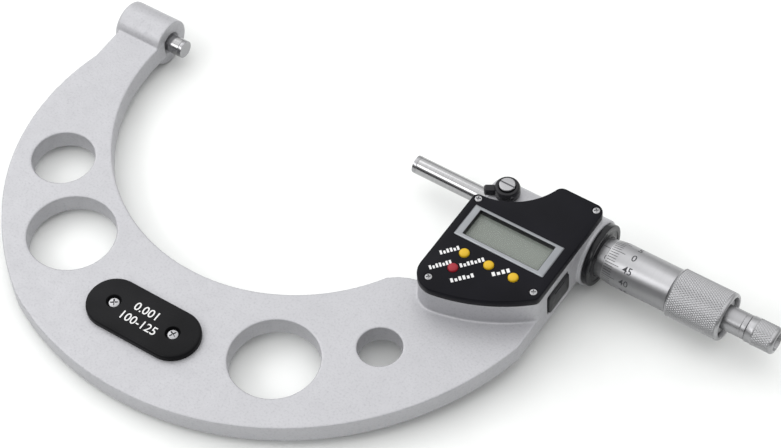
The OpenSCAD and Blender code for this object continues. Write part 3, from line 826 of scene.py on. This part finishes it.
# ---------- spindle clamp ----------
def clamp():
    """Clamp knob with its lever and pip, and the slotted screw."""
    foot_z = 8.97
    bm = bmesh.new()
    knob = [(foot_z, 1.52), (foot_z, 4.5), (KNOB_TOP - 1.1, 4.53), (KNOB_TOP, 4.0), (KNOB_TOP, 3.1),
            (KNOB_TOP - 0.12, 2.95), (KNOB_TOP - 0.9, 2.95), (KNOB_TOP - 0.9, 1.52)]
    add_lathe(bm, soften(knob, 0.5, True), "z", CLAMP, 72)
    new_piece("clamp_knob_cap", bm, BLACK_GLOSS, "clamp", ["clamp_knob"])

    bm = bmesh.new()
    turn = Matrix.Translation(CLAMP) @ Matrix.Rotation(math.radians(211), 4, "Z")
    lever = rectangle((5.85, 0), 4.25, 2.75, 0.9, 6)
    add_shell(bm, lever, [(-0.35, 9.18), (0, 9.45), (0, 11.6), (-0.15, 11.95), (-0.5, 12.13)])
    bmesh.ops.transform(bm, matrix=turn, verts=bm.verts)
    new_piece("clamp_lever", bm, BLACK_GLOSS, "clamp")

    bm = bmesh.new()
    turn = Matrix.Translation(CLAMP + Vector((0, 0, 11.4))) @ Matrix.Rotation(math.radians(-37), 4, "Z")
    add_lathe(bm, soften([(3.6, 0), (3.6, 0.8), (5.05, 0.8), (5.1, 0)], 0.3), "x", (0, 0, 0), 32)
    bmesh.ops.transform(bm, matrix=turn, verts=bm.verts)
    new_piece("clamp_pip", bm, BLACK_GLOSS, "clamp")

    top = cad("clamp_screw")[1].z
    screw = lathe_piece("clamp_slotted_screw", [(5.75, 0), (5.75, 1.5), (KNOB_TOP - 0.88, 1.5),
                                                (KNOB_TOP - 0.88, 2.8), (top, 2.8), (top, 0)],
                        BRIGHT, "clamp", ["clamp_screw"], 0.35, "z", CLAMP, 64)
    slot = bmesh.new()
    add_box(slot, CLAMP + Vector((-4, -0.3, top - 0.65)), CLAMP + Vector((4, 0.3, top + 1)))
    cut_with(screw, slot)


# ---------- insulating plates ----------
def on_plate(x, y):
    """Place function for a number that lies flat on the front plate."""
    def place(right, up, height):
        return (x + right, y + up, PLATE_HIGH.z - MARK_ROOT + height * (MARK_ROOT + MARK_RISE))
    return place


def plates():
    """Two moulded plates with round edges, their screws, and the range in numbers on the front one."""
    rows = ((1, "plate_front", "plate_screws_front"), (-1, "plate_back", "plate_screws_back"))
    for side, node, screws in rows:
        flip = Matrix.Diagonal((1, 1, side, 1))
        top = BOW_HALF + PLATE_SIZE.z
        floor = BOW_HALF + 0.7
        outline = rectangle(PLATE, PLATE_SIZE.x, PLATE_SIZE.y, PLATE_SIZE.y / 2 - 0.01, 16)
        sides = [(0, BOW_HALF), (0, top - 1.0), (-0.08, top - 0.62), (-0.32, top - 0.25),
                 (-0.7, top - 0.05), (-1.1, top)]
        bores = [(1.4, top), (1.25, top - 0.15), (1.25, floor), (0, floor), (0, BOW_HALF)]
        centres = [(PLATE.x + s * PLATE_SCREW_DX, PLATE.y) for s in (-1, 1)]
        bm = bmesh.new()
        add_shell(bm, outline, sides, [(circle(c, 1.35), bores) for c in centres])
        bmesh.ops.transform(bm, matrix=flip, verts=bm.verts)
        new_piece(node + "_moulding", bm, PLATE_BLACK, "base", [node])

        bm = bmesh.new()
        for k, c in enumerate(centres):
            cross_head(bm, c, 2.1, floor + 0.02, BOW_HALF + 1.7, (2.6, 0.55, 0.75), 0.6 + 0.5 * k)
            add_lathe(bm, [(0.9, 0), (0.9, 1.25), (floor, 1.25), (floor, 0)], "z", (*c, 0), 24)
        bmesh.ops.transform(bm, matrix=flip, verts=bm.verts)
        new_piece(screws + "_heads", bm, BRIGHT, "base", [screws])

    size = 4.6
    bm = bmesh.new()
    add_number(bm, "0.001", size, on_plate(PLATE.x, PLATE.y + 2.3))
    add_number(bm, "100-125", size, on_plate(PLATE.x, PLATE.y - 2.9))
    new_piece("plate_numbers", bm, INK_WHITE, "base")


# ---------- battery drawer ----------
def drawer():
    """Front with round corners and a finger notch, tray with the cell's pocket, and the cell."""
    low, high = DRAWER_LOW, DRAWER_HIGH
    front_x = 170.4
    mid_y = (low.y + high.y) / 2
    width = high.y - low.y
    turn = Matrix(((0, 0, 1, 0), (1, 0, 0, 0), (0, 1, 0, 0), (0, 0, 0, 1)))
    face = rectangle((mid_y, high.z / 2), width - 0.1, high.z - 0.1, 1.6, 6)
    grip = rectangle((mid_y, high.z - 1.5), 6, 0.7, 0.3, 4)
    bm = bmesh.new()
    add_shell(bm, face, [(0, front_x), (0, high.x - 0.35), (-0.1, high.x - 0.12), (-0.35, high.x)],
              blind=[(grip, [(0.1, high.x), (0, high.x - 0.1), (-0.05, high.x - 0.5)])])
    bmesh.ops.transform(bm, matrix=turn, verts=bm.verts)
    new_piece("drawer_front", bm, PLASTIC, "drawer", ["battery_drawer"])

    cell = (CELL_LOW + CELL_HIGH) / 2
    length = front_x - low.x
    tray = rectangle(((low.x + front_x) / 2, mid_y), length, width - 0.1, 0.5, 4)
    pocket = circle(cell, 5.88, 64)
    bm = bmesh.new()
    add_shell(bm, tray, [(-0.1, 0), (0, 0.1), (0, 6.45), (-0.12, 6.6)],
              blind=[(pocket, [(0.15, 6.6), (0, 6.42), (0, 1.0)])])
    new_piece("drawer_tray", bm, PLASTIC, "drawer")

    z0, z1 = CELL_LOW.z, CELL_HIGH.z
    can = [(z0, 0), (z0, 5.5), (z0 + 0.3, 5.8), (z1 - 0.7, 5.8), (z1 - 0.5, 5.5), (z1 - 0.55, 5.2),
           (z1 - 0.1, 4.75), (z1, 4.6), (z1, 0)]
    lathe_piece("coin_cell", can, CELL, "drawer", ["battery"], 0.12, "z",
                (cell.x, cell.y, 0), 72)


# ---------- camera, floor and light ----------
CAMERA_AT = Vector((430.73, -446.20, 709.83))
CAMERA_TURN, CAMERA_RISE, CAMERA_ROLL = 0.657275, 0.929180, -0.085454
REAR_FOOT = Vector((165, 0, -12.05))
FRONT_FOOT = Vector((-16, 0, -8.55))
PLATE_FOOT = Vector((PLATE.x, PLATE_LOW.y, -BOW_HALF - PLATE_SIZE.z - 0.05))
# metres from here on, as in the scene
FLOOR_HALF = 6.0
MIDDLE = Vector((0.08, -0.04, 0))
SKY_LEAN = (-0.12, 0.22, 0.93)
SKY_LOW, SKY_HIGH = 0.05, 1.52


def add_camera():
    """Camera at the usual three-quarter view from above."""
    cam = bpy.data.objects.new("camera", bpy.data.cameras.new("camera"))
    bpy.context.scene.collection.objects.link(cam)
    cam.data.sensor_width = 36
    cam.data.lens = 119.68
    cam.data.clip_end = 20
    level = math.cos(CAMERA_RISE)
    right = Vector((math.cos(CAMERA_TURN), math.sin(CAMERA_TURN), 0))
    back = Vector((math.sin(CAMERA_TURN) * level, -math.cos(CAMERA_TURN) * level, math.sin(CAMERA_RISE)))
    up = back.cross(right)
    x_axis = right * math.cos(CAMERA_ROLL) + up * math.sin(CAMERA_ROLL)
    y_axis = up * math.cos(CAMERA_ROLL) - right * math.sin(CAMERA_ROLL)
    axes = Matrix((x_axis, y_axis, back)).transposed().to_4x4()
    cam.matrix_world = Matrix.Translation(CAMERA_AT * MM) @ axes
    bpy.context.scene.camera = cam


def add_floor():
    """A plain floor on which the tool rests by its rear boss, its anvil boss and its lower plate."""
    up = (PLATE_FOOT - FRONT_FOOT).cross(REAR_FOOT - FRONT_FOOT).normalized()
    tilt = Vector((0, 0, 1)).rotation_difference(up).to_matrix().to_4x4()
    bm = bmesh.new()
    bmesh.ops.create_grid(bm, x_segments=2, y_segments=2, size=FLOOR_HALF)
    mesh = bpy.data.meshes.new("floor")
    bm.to_mesh(mesh)
    bm.free()
    floor = bpy.data.objects.new("floor", mesh)
    bpy.context.scene.collection.objects.link(floor)
    floor.matrix_world = Matrix.Translation(REAR_FOOT * MM) @ tilt
    mesh.materials.append(finish("paper_floor", (0.86, 0.87, 0.86), 0.0, 0.8, vary=0.01,
                                 grain=((900, 0.02),), specular=0.2))


def add_sky():
    """A white sky, brightest overhead and a little behind, and dark at the horizon."""
    world = bpy.data.worlds.new("studio")
    bpy.context.scene.world = world
    world.use_nodes = True
    tree = world.node_tree
    sky = tree.nodes.new("ShaderNodeTexCoord")
    lean = tree.nodes.new("ShaderNodeVectorMath")
    lean.operation = "DOT_PRODUCT"
    lean.inputs[1].default_value = SKY_LEAN
    ramp = tree.nodes.new("ShaderNodeMapRange")
    for key, number in (("From Min", 0.0), ("From Max", 0.9), ("To Min", SKY_LOW), ("To Max", SKY_HIGH)):
        ramp.inputs[key].default_value = number
    tree.links.new(sky.outputs["Generated"], lean.inputs[0])
    tree.links.new(lean.outputs["Value"], ramp.inputs["Value"])
    tree.nodes["Background"].inputs["Color"].default_value = (1.0, 1.0, 1.0, 1)
    tree.links.new(ramp.outputs["Result"], tree.nodes["Background"].inputs["Strength"])


def add_softbox(name, place, size, power):
    """A rectangular lamp turned towards the middle of the tool."""
    lamp = bpy.data.lights.new(name, "AREA")
    lamp.shape = "RECTANGLE"
    lamp.size, lamp.size_y = size
    lamp.energy = power
    obj = bpy.data.objects.new(name, lamp)
    bpy.context.scene.collection.objects.link(obj)
    obj.location = place
    obj.rotation_euler = (MIDDLE - Vector(place)).to_track_quat("-Z", "Y").to_euler()


def studio():
    """Camera, floor, sky and two soft lamps."""
    bpy.context.scene.view_settings.view_transform = "Standard"
    add_camera()
    add_floor()
    add_sky()
    add_softbox("key", (-0.5, -0.95, 0.95), (1.4, 0.5), 6)
    add_softbox("side", (-1.45, 0.3, 1.25), (1.6, 1.6), 8)


paint_nodes(HARD, ["nose_bush", "barrel", "adjusting_nut", "rotor_key"])
paint_nodes(BRASS, ["ratchet_plunger", "rotor_hub", "battery_contacts", "clamp_plug"])
paint_nodes(SPRING, ["ratchet_spring"])
paint_nodes(BOARD, ["encoder_stator", "encoder_rotor", "circuit_board"])
paint_nodes(RUBBER, ["cover_gasket"])
paint_nodes(STRIP, ["lcd_strips"])
paint_nodes(MAT_RUBBER, ["keypad_mat"])
paint_nodes(BRIGHT, ["board_screws"])
cast_frame()
measuring_line()
flange()
sleeve()
thimble()
ratchet()
front_cover()
display()
buttons()
cover_marks()
clamp()
plates()
drawer()
studio()
